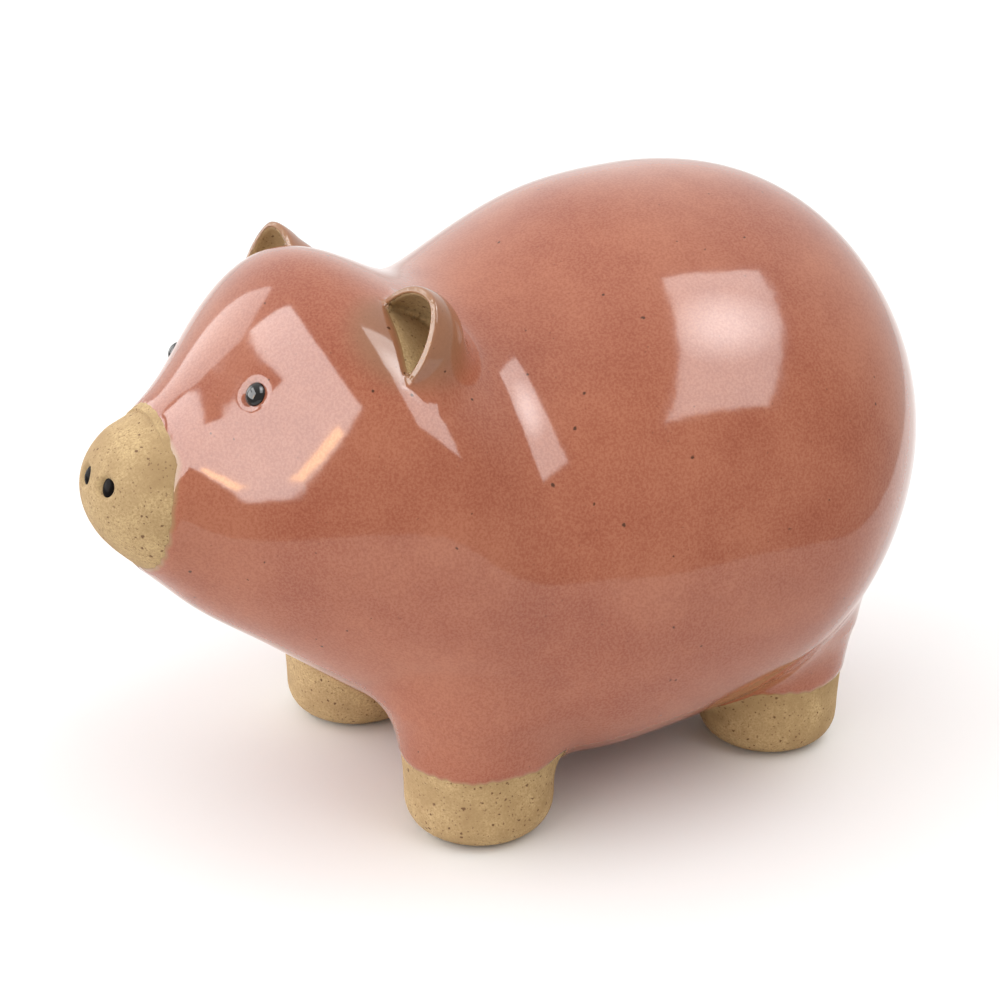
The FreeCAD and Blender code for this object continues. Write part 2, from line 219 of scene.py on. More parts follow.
def tailField(p):
    # distance to a roll that thins along three arcs lying in one leaning plane
    t = tailSet
    lean = math.radians(t["lean"])
    q = p - tailMiddle
    across = q[:, 0]
    up = -q[:, 1] * math.sin(lean) + q[:, 2] * math.cos(lean)
    behind = q[:, 1] * math.cos(lean) + q[:, 2] * math.sin(lean)
    second, last = t["curl"] * t["turn"], t["curl"] * t["tip"]
    best = np.full(len(p), farAway)
    run = 0.0
    turn = math.pi / 2
    for cx, cz, radius, sweep in ((0, 0, t["curl"], math.pi), (0, second - t["curl"], second, math.pi / 2),
                                  (second - last, second - t["curl"], last, math.pi)):
        spare = (2 * math.pi - sweep) / 2
        angle = np.mod(np.arctan2(up - cz, across - cx) - turn + spare, 2 * math.pi)
        angle = np.clip(angle - spare, 0, sweep)
        nx, nz = cx + radius * np.cos(angle + turn), cz + radius * np.sin(angle + turn)
        thick = t["radius"] * (1 - t["taper"] * (run + angle * radius) / tailLength) + t["glaze"]
        best = np.minimum(best, np.sqrt((across - nx) ** 2 + (up - nz) ** 2 + behind ** 2) - thick)
        run += sweep * radius
        turn += sweep
    return best


eyeSet = {"left": 14.7, "right": -18.2, "reach": 22.9, "startZ": 95.0, "radius": 1.9, "high": 1.1,
          "sink": 1.15, "dimple": 3.4, "dimpleDeep": 0.75}
nostrilSet = {"left": 5.2, "right": -1.4, "z": 65.0, "startReach": -3.0, "radius": 1.45, "high": 1.4,
              "sink": 1.95, "dimple": 1.75, "dimpleDeep": 1.3}
dentSet = {"near": 8.0, "round": 0.7}


walkSteps = 60


def surfacePlace(field, start, along):
    # walk from a start outside the form, against a heading, until the field is zero
    p = np.array([start], float)
    for step in range(walkSteps):
        p = p - np.array(along) * field(p)[:, None]
    return p[0]


def gradient(field, p, step=0.04):
    # slope of a field by differences on both sides of each place
    g = np.empty_like(p)
    for k in range(3):
        d = np.zeros(3)
        d[k] = step
        g[:, k] = (field(p + d) - field(p - d)) / (2 * step)
    return g


def faceWays(x, y, z, along):
    # a place on the torso and the outward direction there
    place = surfacePlace(torsoField, (x, y, z), along)
    out = gradient(torsoField, place[None])[0]
    return place, out / np.linalg.norm(out)


dents = []
beads = {}
for side in ("left", "right"):
    place, out = faceWays(eyeSet[side], tipY + eyeSet["reach"], eyeSet["startZ"], (0, 0, 1))
    beads[side + "_eye"] = (place, out, eyeSet)
    dents.append((place, out, eyeSet))
    place, out = faceWays(nostrilSet[side], tipY + nostrilSet["startReach"], nostrilSet["z"], (0, -1, 0))
    beads[side + "_nostril"] = (place, out, nostrilSet)
    dents.append((place, out, nostrilSet))


def near(p, place, radius):
    # numbers of the places that lie within a radius of one place
    return np.flatnonzero(((p - place) ** 2).sum(1) < radius ** 2)


notchSet = {"reach": 9.0, "wide": 2.6, "deep": 1.1, "low": 69.0, "rise": 5.0}


def figureField(p):
    # distance to the whole glazed figure: torso with a notch above the snout, legs, ears and tail joined
    # with fillets, the ears scooped out, and a dent pressed in at each eye and nostril
    torso = torsoField(p)
    n = notchSet
    across = np.exp(-((p[:, 1] - tipY - n["reach"]) / n["wide"]) ** 2)
    d = torso + n["deep"] * across * smoothStep((p[:, 2] - n["low"]) / n["rise"])
    for place in legSet["places"].values():
        i = near(p, (place[0], tipY + place[1], legSet["middle"]), legSet["near"])
        d[i] = smoothMin(d[i], legField(p[i], place), legSet["blend"])
    for side, sign in (("left", 1), ("right", -1)):
        e = earSet[side]
        i = near(p, np.array(e["foot"]) * (sign, 1, 1), earSet["near"])
        q = earLocal(p[i], side)
        scoop = hollowField(q, e)
        behind = rimPlane(q, e)
        ear = smoothMax(cupField(q, e, 0), -behind, earSet["rimRound"])
        ear = smoothMax(ear, -scoop, earSet["rimRound"])
        fillet = earSet["crisp"] + (earSet["blend"] - earSet["crisp"]) * smoothStep(behind / earSet["reachBack"])
        d[i] = np.maximum(smoothMin(d[i], ear, fillet), -np.maximum(scoop, -torso[i]))
    i = near(p, tailMiddle, tailSet["near"])
    d[i] = smoothMin(d[i], tailField(p[i]), tailSet["blend"])
    for place, out, s in dents:
        i = near(p, place, dentSet["near"])
        ball = place + out * (s["dimple"] - s["dimpleDeep"])
        d[i] = smoothMax(d[i], s["dimple"] - np.linalg.norm(p[i] - ball, axis=1), dentSet["round"])
    return d


glazeSet = {"thick": 0.5, "drop": 0.3, "edge": 1.5, "underlap": 1.5, "underDrop": 0.1, "underReach": 0.5,
            "earReach": 5.0, "inCup": 1.15, "overLip": 0.75, "behindRim": 0.5, "legSteep": 2.5,
            "slowSnout": 0.4, "fineSnout": 0.22, "slowLeg": 0.6, "fineLeg": 0.2, "fineTimes": 6,
            "seeds": (3, 4, 11, 21),
            "snoutHeights": (45.0, 50.0, 55.0, 60.0, 65.0, 69.0, 75.0),
            "snoutPlaces": (-70.2, -69.6, -68.7, -67.6, -66.4, -65.1, -65.4)}
ventSet = {"reach": 88.0, "radius": 1.6, "topZ": 20.0}
wanderSet = {"least": 0.08, "most": 0.45, "phase": 6.28, "sines": 3}


def wander(a, b, seed, strength):
    # a slow uneven line: the mean of three sines that run in seeded directions
    least, most, phase, sines = wanderSet.values()
    rng = np.random.default_rng(seed)
    f, g, o = rng.uniform(least, most, sines), rng.uniform(least, most, sines), rng.uniform(0, phase, sines)
    return strength * sum(np.sin(a * f[k] + b * g[k] + o[k]) for k in range(sines)) / sines


def wobble(a, b, seed, fineSeed, slow, fine):
    # a slow wander and a finer one, as hand dipping leaves it
    n = glazeSet["fineTimes"]
    return wander(a, b, seed, slow) + wander(a * n, b * n, fineSeed, fine)


def glazeLine(p):
    # distance from the edge of the glaze along the surface, above zero on glaze and below on bare clay:
    # the least of the distances behind the snout's edge, above each leg's edge and out of each ear's cup
    torso = torsoField(p)
    g = glazeSet
    x, y, z = p.T
    one, two, three, four = g["seeds"]
    edge = np.interp(z, g["snoutHeights"], g["snoutPlaces"])
    line = y - edge - wobble(x, z, one, two, g["slowSnout"], g["fineSnout"])
    for k, place in enumerate(legSet["places"].values()):
        above = z - legSet["glazeLine"] - wobble(x, y, three + k, four + k, g["slowLeg"], g["fineLeg"])
        line = np.minimum(line, np.maximum(above, g["legSteep"] * (legField(p, place) - torso)))
    for side in ("left", "right"):
        q, e = earLocal(p, side), earSet[side]
        lip = np.maximum(hollowField(q, e) - g["inCup"], cupField(q, e, 0) + g["overLip"])
        below = -q[:, 2] - g["earReach"]
        line = np.minimum(line, np.maximum(np.maximum(lip, below), g["behindRim"] - rimPlane(q, e)))
    return line


def settle(p, field, rounds):
    # move places onto the surface of a field: each round a step of value over slope, against the slope
    for step in range(rounds):
        g = gradient(field, p)
        away = np.clip(field(p) / ((g ** 2).sum(1) + tiny), -1, 1)
        p = p - g * away[:, None]
    return p


def gridLines(low, high, zones, fine):
    # places of the grid along one way: a wide step, and a fine one inside the zones
    lines = [low]
    while lines[-1] < high:
        inZone = any(a <= lines[-1] < b for a, b in zones)
        lines.append(lines[-1] + (fine if inZone else meshSet["cell"]))
    return np.array(lines)


def surfaceNet(field, axes):
    # one point in each cell that the surface passes, at the mean of its edge crossings, and a square
    # of two triangles round each grid edge that the surface crosses
    size = np.array([len(lines) for lines in axes])
    grid = np.stack(np.meshgrid(*axes, indexing="ij"), -1).reshape(-1, 3)
    v = np.concatenate([field(part) for part in np.array_split(grid, meshSet["parts"])]).reshape(size)
    inside = v < 0
    cells = tuple(size - 1)
    total, count = np.zeros(cells + (3,)), np.zeros(cells)
    crossings = []
    for axis in range(3):
        here, there = [slice(None)] * 3, [slice(None)] * 3
        here[axis], there[axis] = slice(0, -1), slice(1, None)
        a, b = v[tuple(here)], v[tuple(there)]
        cross = (a < 0) != (b < 0)
        t = np.where(cross, a / np.where(cross, a - b, 1), 0)
        crossings.append((cross, inside[tuple(here)]))
        others = [k for k in range(3) if k != axis]
        for i in (0, 1):
            for j in (0, 1):
                pick = [slice(None)] * 3
                pick[others[0]] = slice(i, size[others[0]] - 1 + i)
                pick[others[1]] = slice(j, size[others[1]] - 1 + j)
                c, s = cross[tuple(pick)], t[tuple(pick)]
                count += c
                offset = np.zeros(cells + (3,))
                offset[..., axis] = s
                offset[..., others[0]], offset[..., others[1]] = i, j
                total += offset * c[..., None]
    used = count > 0
    number = np.full(cells, -1)
    number[used] = np.arange(used.sum())
    corner = np.stack(np.meshgrid(*[np.arange(n) for n in cells], indexing="ij"), -1)[used]
    part = total[used] / count[used][:, None]
    points = np.stack([axes[k][corner[:, k]] + np.diff(axes[k])[corner[:, k]] * part[:, k] for k in range(3)], 1)
    faces = []
    for axis, (cross, starts) in enumerate(crossings):
        o1, o2 = [(1, 2), (2, 0), (0, 1)][axis]
        at = np.argwhere(cross)
        at = at[(at[:, o1] > 0) & (at[:, o2] > 0) & (at[:, o1] < cells[o1]) & (at[:, o2] < cells[o2])]
        step1, step2 = np.eye(3, dtype=int)[o1], np.eye(3, dtype=int)[o2]
        square = np.stack([number[tuple((at - a * step1 - b * step2).T)]
                           for a, b in ((1, 1), (0, 1), (0, 0), (1, 0))], 1)
        flip = ~starts[tuple(at.T)]
        square[flip] = square[flip][:, ::-1]
        faces.append(square)
    q = np.concatenate(faces)
    shorter = (np.linalg.norm(points[q[:, 0]] - points[q[:, 2]], axis=1)
               < np.linalg.norm(points[q[:, 1]] - points[q[:, 3]], axis=1))[:, None]
    one = np.where(shorter, q[:, [0, 1, 2]], q[:, [0, 1, 3]])
    two = np.where(shorter, q[:, [0, 2, 3]], q[:, [1, 2, 3]])
    return points, np.concatenate([one, two])


def edgesOf(t):
    # each edge once, and the three edges of every triangle
    sides = np.sort(t[:, [[0, 1], [1, 2], [2, 0]]], axis=2)
    edges, back = np.unique(sides.reshape(-1, 2), axis=0, return_inverse=True)
    return edges, back.reshape(-1, 3)


def splitEdges(t, edges, sides, marked, first):
    # new triangles where marked edges get a point: two, three or four take the place of one
    number = np.full(len(edges), -1)
    number[marked] = first + np.arange(marked.sum())
    m = number[sides]
    parts = [t[(m < 0).all(1)]]
    count = (m >= 0).sum(1)
    for k in range(3):
        r = np.roll(np.arange(3), -k)
        a = (count == 1) & (m[:, k] >= 0)
        v, n = t[a][:, r], m[a][:, r]
        parts += [np.stack([v[:, 0], n[:, 0], v[:, 2]], 1), np.stack([n[:, 0], v[:, 1], v[:, 2]], 1)]
        a = (count == 2) & (m[:, (k + 2) % 3] < 0)
        v, n = t[a][:, r], m[a][:, r]
        parts += [np.stack([n[:, 0], v[:, 1], n[:, 1]], 1), np.stack([v[:, 0], n[:, 0], n[:, 1]], 1),
                  np.stack([v[:, 0], n[:, 1], v[:, 2]], 1)]
    a = count == 3
    v, n = t[a], m[a]
    parts += [np.stack([v[:, 0], n[:, 0], n[:, 2]], 1), np.stack([n[:, 0], v[:, 1], n[:, 1]], 1),
              np.stack([n[:, 2], n[:, 1], v[:, 2]], 1), n]
    return np.concatenate(parts)


meshSet = {"across": (-58.0, 58.0), "along": (-82.0, 82.0), "up": (-4.0, 104.0), "parts": 12,
           "earAcross": ((-36, -12), (12, 36)), "earAlong": ((-44, -20),), "earUp": ((82, 101),),
           "cell": 1.5, "fineAcross": 1.2, "fineAlong": 1.0, "fineUp": 0.95,
           "line": 0.42, "lineBand": 0.9, "lineMiddle": 0.2, "lineGrow": 0.7,
           "ear": 0.66, "earBand": 12.0, "earAside": 3.0, "earAbove": 5.0,
           "tail": 0.6, "tailBand": 10.0, "grow": 0.35,
           "bead": 0.4, "beadBand": 3.2, "beadGrow": 0.3, "tooLong": 1.35, "rounds": 3}


def wantedLength(p):
    # how long an edge may be: short in a band at the glaze line, the ears, the tail and the beads, and
    # longer with the distance from it
    s = meshSet
    away = np.abs(glazeLine(p) - s["lineMiddle"])
    want = s["line"] + np.clip(away - s["lineBand"], 0, None) * s["lineGrow"]
    spots = [(tailMiddle, s["tail"], s["tailBand"], s["grow"])]
    for side, sign in (("left", 1), ("right", -1)):
        middle = np.array(earSet[side]["foot"]) * (sign, 1, 1) + (s["earAside"] * sign, 0, s["earAbove"])
        spots.append((middle, s["ear"], s["earBand"], s["grow"]))
    spots += [(dent[0], s["bead"], s["beadBand"], s["beadGrow"]) for dent in dents]
    for place, least, band, grow in spots:
        away = np.linalg.norm(p - place, axis=1)
        want = np.minimum(want, least + np.clip(away - band, 0, None) * grow)
    return want


print("figure surface")
points, tris = surfaceNet(figureField, [
    gridLines(*meshSet["across"], meshSet["earAcross"], meshSet["fineAcross"]),
    gridLines(*meshSet["along"], meshSet["earAlong"], meshSet["fineAlong"]),
    gridLines(*meshSet["up"], meshSet["earUp"], meshSet["fineUp"])])
print("  net", len(points), len(tris))
points = settle(points, figureField, 5)
for step in range(meshSet["rounds"]):
    edges, sides = edgesOf(tris)
    middle = (points[edges[:, 0]] + points[edges[:, 1]]) / 2
    length = np.linalg.norm(points[edges[:, 0]] - points[edges[:, 1]], axis=1)
    marked = length > meshSet["tooLong"] * wantedLength(middle)
    tris = splitEdges(tris, edges, sides, marked, len(points))
    points = settle(np.concatenate([points, middle[marked]]), figureField, 3)
    print("  refined", step, len(points), len(tris))
line = glazeLine(points)


snapWidth = 0.04


def cutAlong(points, tris, line, values, level):
    # put points where the values pass a level, so that no triangle lies on both sides of it
    v = values - level
    v[np.abs(v) < snapWidth] = 0
    edges, sides = edgesOf(tris)
    a, b = v[edges[:, 0]], v[edges[:, 1]]
    marked = a * b < 0
    t = (a / np.where(marked, a - b, 1))[marked, None]
    pick = edges[marked]
    new = points[pick[:, 0]] * (1 - t) + points[pick[:, 1]] * t
    line = np.concatenate([line, line[pick[:, 0]] * (1 - t[:, 0]) + line[pick[:, 1]] * t[:, 0]])
    tris = splitEdges(tris, edges, sides, marked, len(points))
    v = np.concatenate([v, np.zeros(len(new))])
    return np.concatenate([points, settle(new, figureField, 2)]), tris, line, v


def fromVent(points):
    # distance from the middle line of the belly's vent hole, far away above the belly
    out = np.hypot(points[:, 0], points[:, 1] - tipY - ventSet["reach"])
    return np.where(points[:, 2] < ventSet["topZ"], out, farAway)


points, tris, line, v = cutAlong(points, tris, line, line.copy(), 0.0)
line[v == 0] = 0
points, tris, line, v = cutAlong(points, tris, line, fromVent(points), ventSet["radius"])
points, tris, line, v = cutAlong(points, tris, line, line.copy(), glazeSet["underlap"])
onHole = fromVent(points)[tris].mean(1) < ventSet["radius"]
onGlaze = line[tris].sum(1) > 0
underlap = (line[tris] - glazeSet["underlap"]).sum(1) < 0
print("glaze line cut", len(points), len(tris))


def coatField(p):
    # the figure with the glaze thinning to a rounded edge at its line
    g = glazeSet
    fade = np.clip(1 - np.clip(glazeLine(p), 0, None) / g["edge"], 0, 1)
    return figureField(p) + g["drop"] * fade ** 2


def clayField(p):
    # the bare clay lies lower than the glaze's face, and a little lower still under its edge
    g = glazeSet
    return figureField(p) + g["drop"] + g["underDrop"] * np.clip(glazeLine(p) / g["underReach"], 0, 1)


def fillMesh(name, verts, faces, normals):
    # a mesh object in metres from arrays of places and triangles
    mesh = bpy.data.meshes.new(name)
    mesh.vertices.add(len(verts))
    mesh.vertices.foreach_set("co", (verts * mm).astype(np.float32).ravel())
    mesh.loops.add(faces.size)
    mesh.loops.foreach_set("vertex_index", faces.astype(np.int32).ravel())
    mesh.polygons.add(len(faces))
    mesh.polygons.foreach_set("loop_start", np.arange(0, faces.size, faces.shape[1], dtype=np.int32))
    mesh.update(calc_edges=True)
    mesh.validate()
    mesh.shade_smooth()
    mesh.normals_split_custom_set_from_vertices(normals.tolist())
    piece = bpy.data.objects.new(name, mesh)
    bpy.context.collection.objects.link(piece)
    return piece


shellSet = {"clay": 2.0, "ear": 0.72, "tries": 8, "least": 0.6, "shrink": 0.75}


def headings(field, p):
    # the outward direction of a field at each place
    n = gradient(field, p)
    return n / (np.linalg.norm(n, axis=1)[:, None] + tinySquare)


def shellPiece(name, faces, outerField, thick):
    # a closed shell: the surface, a copy of it moved inwards, and a rim along every open edge. Where the
    # form is too thin for the whole depth, the copy moves less
    used, back = np.unique(faces, return_inverse=True)
    f = back.reshape(-1, 3)
    outer = settle(points[used], outerField, 3)
    n, base = headings(outerField, outer), headings(figureField, points[used])
    depth = np.full((len(used), 1), thick)
    for step in range(shellSet["tries"]):
        inner = points[used] - base * depth
        shallow = figureField(inner)[:, None] > -shellSet["least"] * depth
        depth = np.where(shallow, depth * shellSet["shrink"], depth)
    count = len(used)
    half = np.concatenate([f[:, [0, 1]], f[:, [1, 2]], f[:, [2, 0]]])
    key = half[:, 0].astype(np.int64) * count + half[:, 1]
    other = half[:, 1].astype(np.int64) * count + half[:, 0]
    rim = half[~np.isin(key, other)]
    walls = np.concatenate([np.stack([rim[:, 1], rim[:, 0], rim[:, 0] + count], 1),
                            np.stack([rim[:, 1], rim[:, 0] + count, rim[:, 1] + count], 1)])
    every = np.concatenate([f, f[:, ::-1] + count, walls])
    piece = fillMesh(name, np.concatenate([outer, inner]), every, np.concatenate([n, -base]))
    layer = piece.data.attributes.new("fromLine", "FLOAT", "POINT")
    layer.data.foreach_set("value", np.tile(line[used], 2).astype(np.float32))
    print("  ", name, len(every), "triangles")
    return piece


glazeCoat = shellPiece("glazeCoat", tris[onGlaze & ~onHole], coatField, glazeSet["thick"])
zoneSet = {"snoutEnd": -55, "headStart": -50, "legsApart": 10, "footTop": 20, "earLow": 70}
middleX, middleY, middleZ = points[tris].mean(1).T
left, right = middleX > 0, middleX < 0
low, high = middleZ < zoneSet["footTop"], (middleZ > zoneSet["earLow"]) & (middleY > zoneSet["headStart"])
front = low & (middleY < zoneSet["legsApart"]) & (middleY > zoneSet["headStart"])
rear = low & (middleY > zoneSet["legsApart"])
zones = {
    "snoutClay": middleY < zoneSet["snoutEnd"],
    "frontLeftFoot": front & left, "frontRightFoot": front & right,
    "rearLeftFoot": rear & left, "rearRightFoot": rear & right,
    "leftEarClay": high & left, "rightEarClay": high & right,
}
clayPieces = {}
for name, zone in zones.items():
    thick = shellSet["ear" if "Ear" in name else "clay"]
    clayPieces[name] = shellPiece(name, tris[underlap & zone], clayField, thick)


ballSet = {"rows": 40, "columns": 64}


def beadPiece(name, place, out, s):
    # a drop of glaze: a ball that is drawn out upwards and sunk below the place along its outward way
    rows, columns = ballSet["rows"], ballSet["columns"]
    u = np.linspace(0, math.pi, rows)[1:-1]
    v = np.arange(columns) * 2 * math.pi / columns
    ball = np.stack([np.outer(np.sin(u), np.cos(v)), np.outer(np.sin(u), np.sin(v)),
                     np.outer(np.cos(u), np.ones(columns))], -1).reshape(-1, 3)
    ball = np.concatenate([ball, [[0, 0, 1.0]], [[0, 0, -1.0]]])
    up = np.array([0, 0, 1.0]) - out * out[2]
    up /= np.linalg.norm(up)
    across = np.cross(up, out)
    axes = np.stack([across, up, out])
    size = np.array([s["radius"], s["radius"] * s["high"], s["radius"]])
    verts = place - out * s["sink"] + (ball * size) @ axes
    n = ball / size @ axes
    n /= np.linalg.norm(n, axis=1)[:, None]
    r, c = np.meshgrid(np.arange(rows - 3), np.arange(columns), indexing="ij")
    a, b = (r * columns + c).ravel(), (r * columns + (c + 1) % columns).ravel()
    quads = np.concatenate([np.stack([a, a + columns, b], 1), np.stack([b, a + columns, b + columns], 1)])
    c = np.arange(columns)
    top, low = len(verts) - 2, len(verts) - 1
    base = (rows - 3) * columns
    ends = np.concatenate([np.stack([np.full(columns, top), c, (c + 1) % columns], 1),
                           np.stack([np.full(columns, low), base + (c + 1) % columns, base + c], 1)])
    return fillMesh(name, verts, np.concatenate([quads, ends]), n)


beadPieces = {name: beadPiece(name.split("_")[0] + name.split("_")[1].capitalize(), *b)
              for name, b in beads.items()}
print("pieces made")


def nodeMaker(tree):
    # short way to place a shader node, set its values and link its inputs
    def make(kind, values=None, links=None, **settings):
        node = tree.nodes.new(kind)
        for key, value in settings.items():
            setattr(node, key, value)
        for key, value in (values or {}).items():
            node.inputs[key].default_value = value
        for key, source in (links or {}).items():
            tree.links.new(source, node.inputs[key])
        return node
    return make


def newGroup(name, inputs, outputs):
    # an empty node group with its sockets, and the nodes that hold them
    group = bpy.data.node_groups.new(name, "ShaderNodeTree")
    for socket, kind, value in inputs:
        group.interface.new_socket(name=socket, in_out="INPUT", socket_type=kind).default_value = value
    for socket, kind in outputs:
        group.interface.new_socket(name=socket, in_out="OUTPUT", socket_type=kind)
    return group, nodeMaker(group), group.nodes.new("NodeGroupInput"), group.nodes.new("NodeGroupOutput")


def buildSpeckGroup():
    # iron specks: a soft dark dot at the middle of every cell whose random number is low enough, of a
    # size that another random number sets. The place is shifted by noise, so that no dot is quite round
    group, make, given, result = newGroup("ironSpecks", [
        ("Scale", "NodeSocketFloat", 400.0), ("Amount", "NodeSocketFloat", 0.3), ("Size", "NodeSocketFloat", 0.2)],
        [("Mask", "NodeSocketFloat")])
    place = make("ShaderNodeTexCoord")
    warp = make("ShaderNodeTexNoise", {"Scale": 900.0, "Detail": 2.0}, {"Vector": place.outputs["Object"]})
    shift = make("ShaderNodeVectorMath", {"Scale": 0.0009}, {0: warp.outputs["Color"]}, operation="SCALE")
    moved = make("ShaderNodeVectorMath", None, {0: place.outputs["Object"], 1: shift.outputs[0]}, operation="ADD")
    cells = make("ShaderNodeTexVoronoi", None, {"Vector": moved.outputs[0], "Scale": given.outputs["Scale"]})
    apart = make("ShaderNodeSeparateColor", None, {"Color": cells.outputs["Color"]})
    chosen = make("ShaderNodeMath", None, {0: apart.outputs[0], 1: given.outputs["Amount"]}, operation="LESS_THAN")
    share = make("ShaderNodeMapRange", {"To Min": 0.45}, {"Value": apart.outputs[1]})
    size = make("ShaderNodeMath", None, {0: share.outputs[0], 1: given.outputs["Size"]}, operation="MULTIPLY")
    ratio = make("ShaderNodeMath", None, {0: cells.outputs["Distance"], 1: size.outputs[0]}, operation="DIVIDE")
    dot = make("ShaderNodeMapRange", {"From Min": 0.55, "From Max": 1.0, "To Min": 1.0, "To Max": 0.0},
               {"Value": ratio.outputs[0]}, interpolation_type="SMOOTHSTEP")
    both = make("ShaderNodeMath", None, {0: dot.outputs[0], 1: chosen.outputs[0]}, operation="MULTIPLY")
    group.links.new(both.outputs[0], result.inputs["Mask"])
    return group


speckGroup = buildSpeckGroup()


def specks(make, scale, amount, size):
    # the mask of a set of specks
    values = {"Scale": scale, "Amount": amount, "Size": size}
    node = make("ShaderNodeGroup", node_tree=speckGroup)
    for key, value in values.items():
        node.inputs[key].default_value = value
    return node.outputs["Mask"]


def startMaterial(name):
    # a material with a Principled shader linked to its output
    material = bpy.data.materials.new(name)
    material.use_nodes = True
    tree = material.node_tree
    tree.nodes.clear()
    make = nodeMaker(tree)
    shader = make("ShaderNodeBsdfPrincipled")
    out = make("ShaderNodeOutputMaterial")
    tree.links.new(shader.outputs[0], out.inputs[0])
    return material, tree, make, shader


def mixColor(make, factor, one, two, **settings):
    # blend of two colours, each a socket or a fixed colour
    node = make("ShaderNodeMix", data_type="RGBA", **settings)
    for socket, value in ((node.inputs[0], factor), (node.inputs[6], one), (node.inputs[7], two)):
        if hasattr(value, "links"):
            node.id_data.links.new(value, socket)
        else:
            socket.default_value = value
    return node.outputs[2]


glazeLook = {
    "deep": (0.29, 0.076, 0.038, 1), "pale": (0.41, 0.146, 0.081, 1), "thin": (0.36, 0.21, 0.10, 1),
    "ear": (0.27, 0.13, 0.068, 1), "speck": (0.09, 0.032, 0.016, 1), "rough": 0.09, "wave": 0.02,
    "grain": 0.9, "paleShare": 0.6, "faint": 0.35, "earMiddle": (4, 0, 6), "earStart": 0.007, "earEnd": 0.0125,
    "earShare": 0.75, "thinReach": 0.9, "thinShare": 0.9,
}


def buildGlaze():
    # pink glaze: clouds and grain between a deep and a pale pink, browner on the ears, thin and sandy
    # along its edges, with iron specks and a faint wave of its face
    material, tree, make, shader = startMaterial("pinkGlaze")
    g = glazeLook
    place = make("ShaderNodeTexCoord").outputs["Object"]
    cloud = make("ShaderNodeTexNoise", {"Scale": 55.0, "Detail": 5.0, "Roughness": 0.6}, {"Vector": place})
    grain = make("ShaderNodeTexNoise", {"Scale": 2400.0, "Detail": 2.0, "Roughness": 0.7}, {"Vector": place})
    cloudy = make("ShaderNodeMapRange", {"From Min": 0.35, "From Max": 0.65}, {"Value": cloud.outputs[0]})
    grainy = make("ShaderNodeMapRange", {"From Min": 0.4, "From Max": 0.6}, {"Value": grain.outputs[0]})
    grainShare = make("ShaderNodeMath", {1: g["grain"]}, {0: grainy.outputs[0]}, operation="MULTIPLY")
    mixed = make("ShaderNodeMath", None, {0: cloudy.outputs[0], 1: grainShare.outputs[0]}, operation="ADD")
    paleShare = make("ShaderNodeMath", {1: g["paleShare"]}, {0: mixed.outputs[0]}, operation="MULTIPLY")
    color = mixColor(make, paleShare.outputs[0], g["deep"], g["pale"])
    ears = []
    for side, sign in (("left", 1), ("right", -1)):
        x, y, z = (np.array(earSet[side]["foot"]) + g["earMiddle"]) * mm
        middle = (sign * x, y, z)
        ears.append(make("ShaderNodeVectorMath", {1: middle}, {0: place}, operation="DISTANCE").outputs["Value"])
    nearest = make("ShaderNodeMath", None, {0: ears[0], 1: ears[1]}, operation="MINIMUM")
    reach = {"From Min": g["earStart"], "From Max": g["earEnd"], "To Min": g["earShare"], "To Max": 0.0}
    onEar = make("ShaderNodeMapRange", reach, {"Value": nearest.outputs[0]}, interpolation_type="SMOOTHSTEP")
    color = mixColor(make, onEar.outputs[0], color, g["ear"])
    edge = make("ShaderNodeAttribute", attribute_name="fromLine")
    reach = {"From Min": 0.0, "From Max": g["thinReach"], "To Min": g["thinShare"], "To Max": 0.0}
    thin = make("ShaderNodeMapRange", reach, {"Value": edge.outputs["Fac"]}, interpolation_type="SMOOTHSTEP")
    color = mixColor(make, thin.outputs[0], color, g["thin"])
    faint = make("ShaderNodeMath", {1: g["faint"]}, {0: specks(make, 1000.0, 0.5, 0.17)}, operation="MULTIPLY")
    color = mixColor(make, faint.outputs[0], color, g["speck"])
    color = mixColor(make, specks(make, 330.0, 0.3, 0.13), color, g["speck"])
    tree.links.new(color, shader.inputs["Base Color"])
    wave = make("ShaderNodeTexNoise", {"Scale": 320.0, "Detail": 1.0}, {"Vector": place})
    bump = make("ShaderNodeBump", {"Strength": g["wave"], "Distance": 0.001}, {"Height": wave.outputs[0]})
    tree.links.new(bump.outputs[0], shader.inputs["Normal"])
    shader.inputs["Roughness"].default_value = g["rough"]
    return material


clayLook = {"light": (0.55, 0.39, 0.19, 1), "dark": (0.34, 0.215, 0.09, 1),
            "speck": (0.15, 0.07, 0.025, 1), "rough": 0.9, "sand": 0.8, "faint": 0.6, "grit": 0.15}


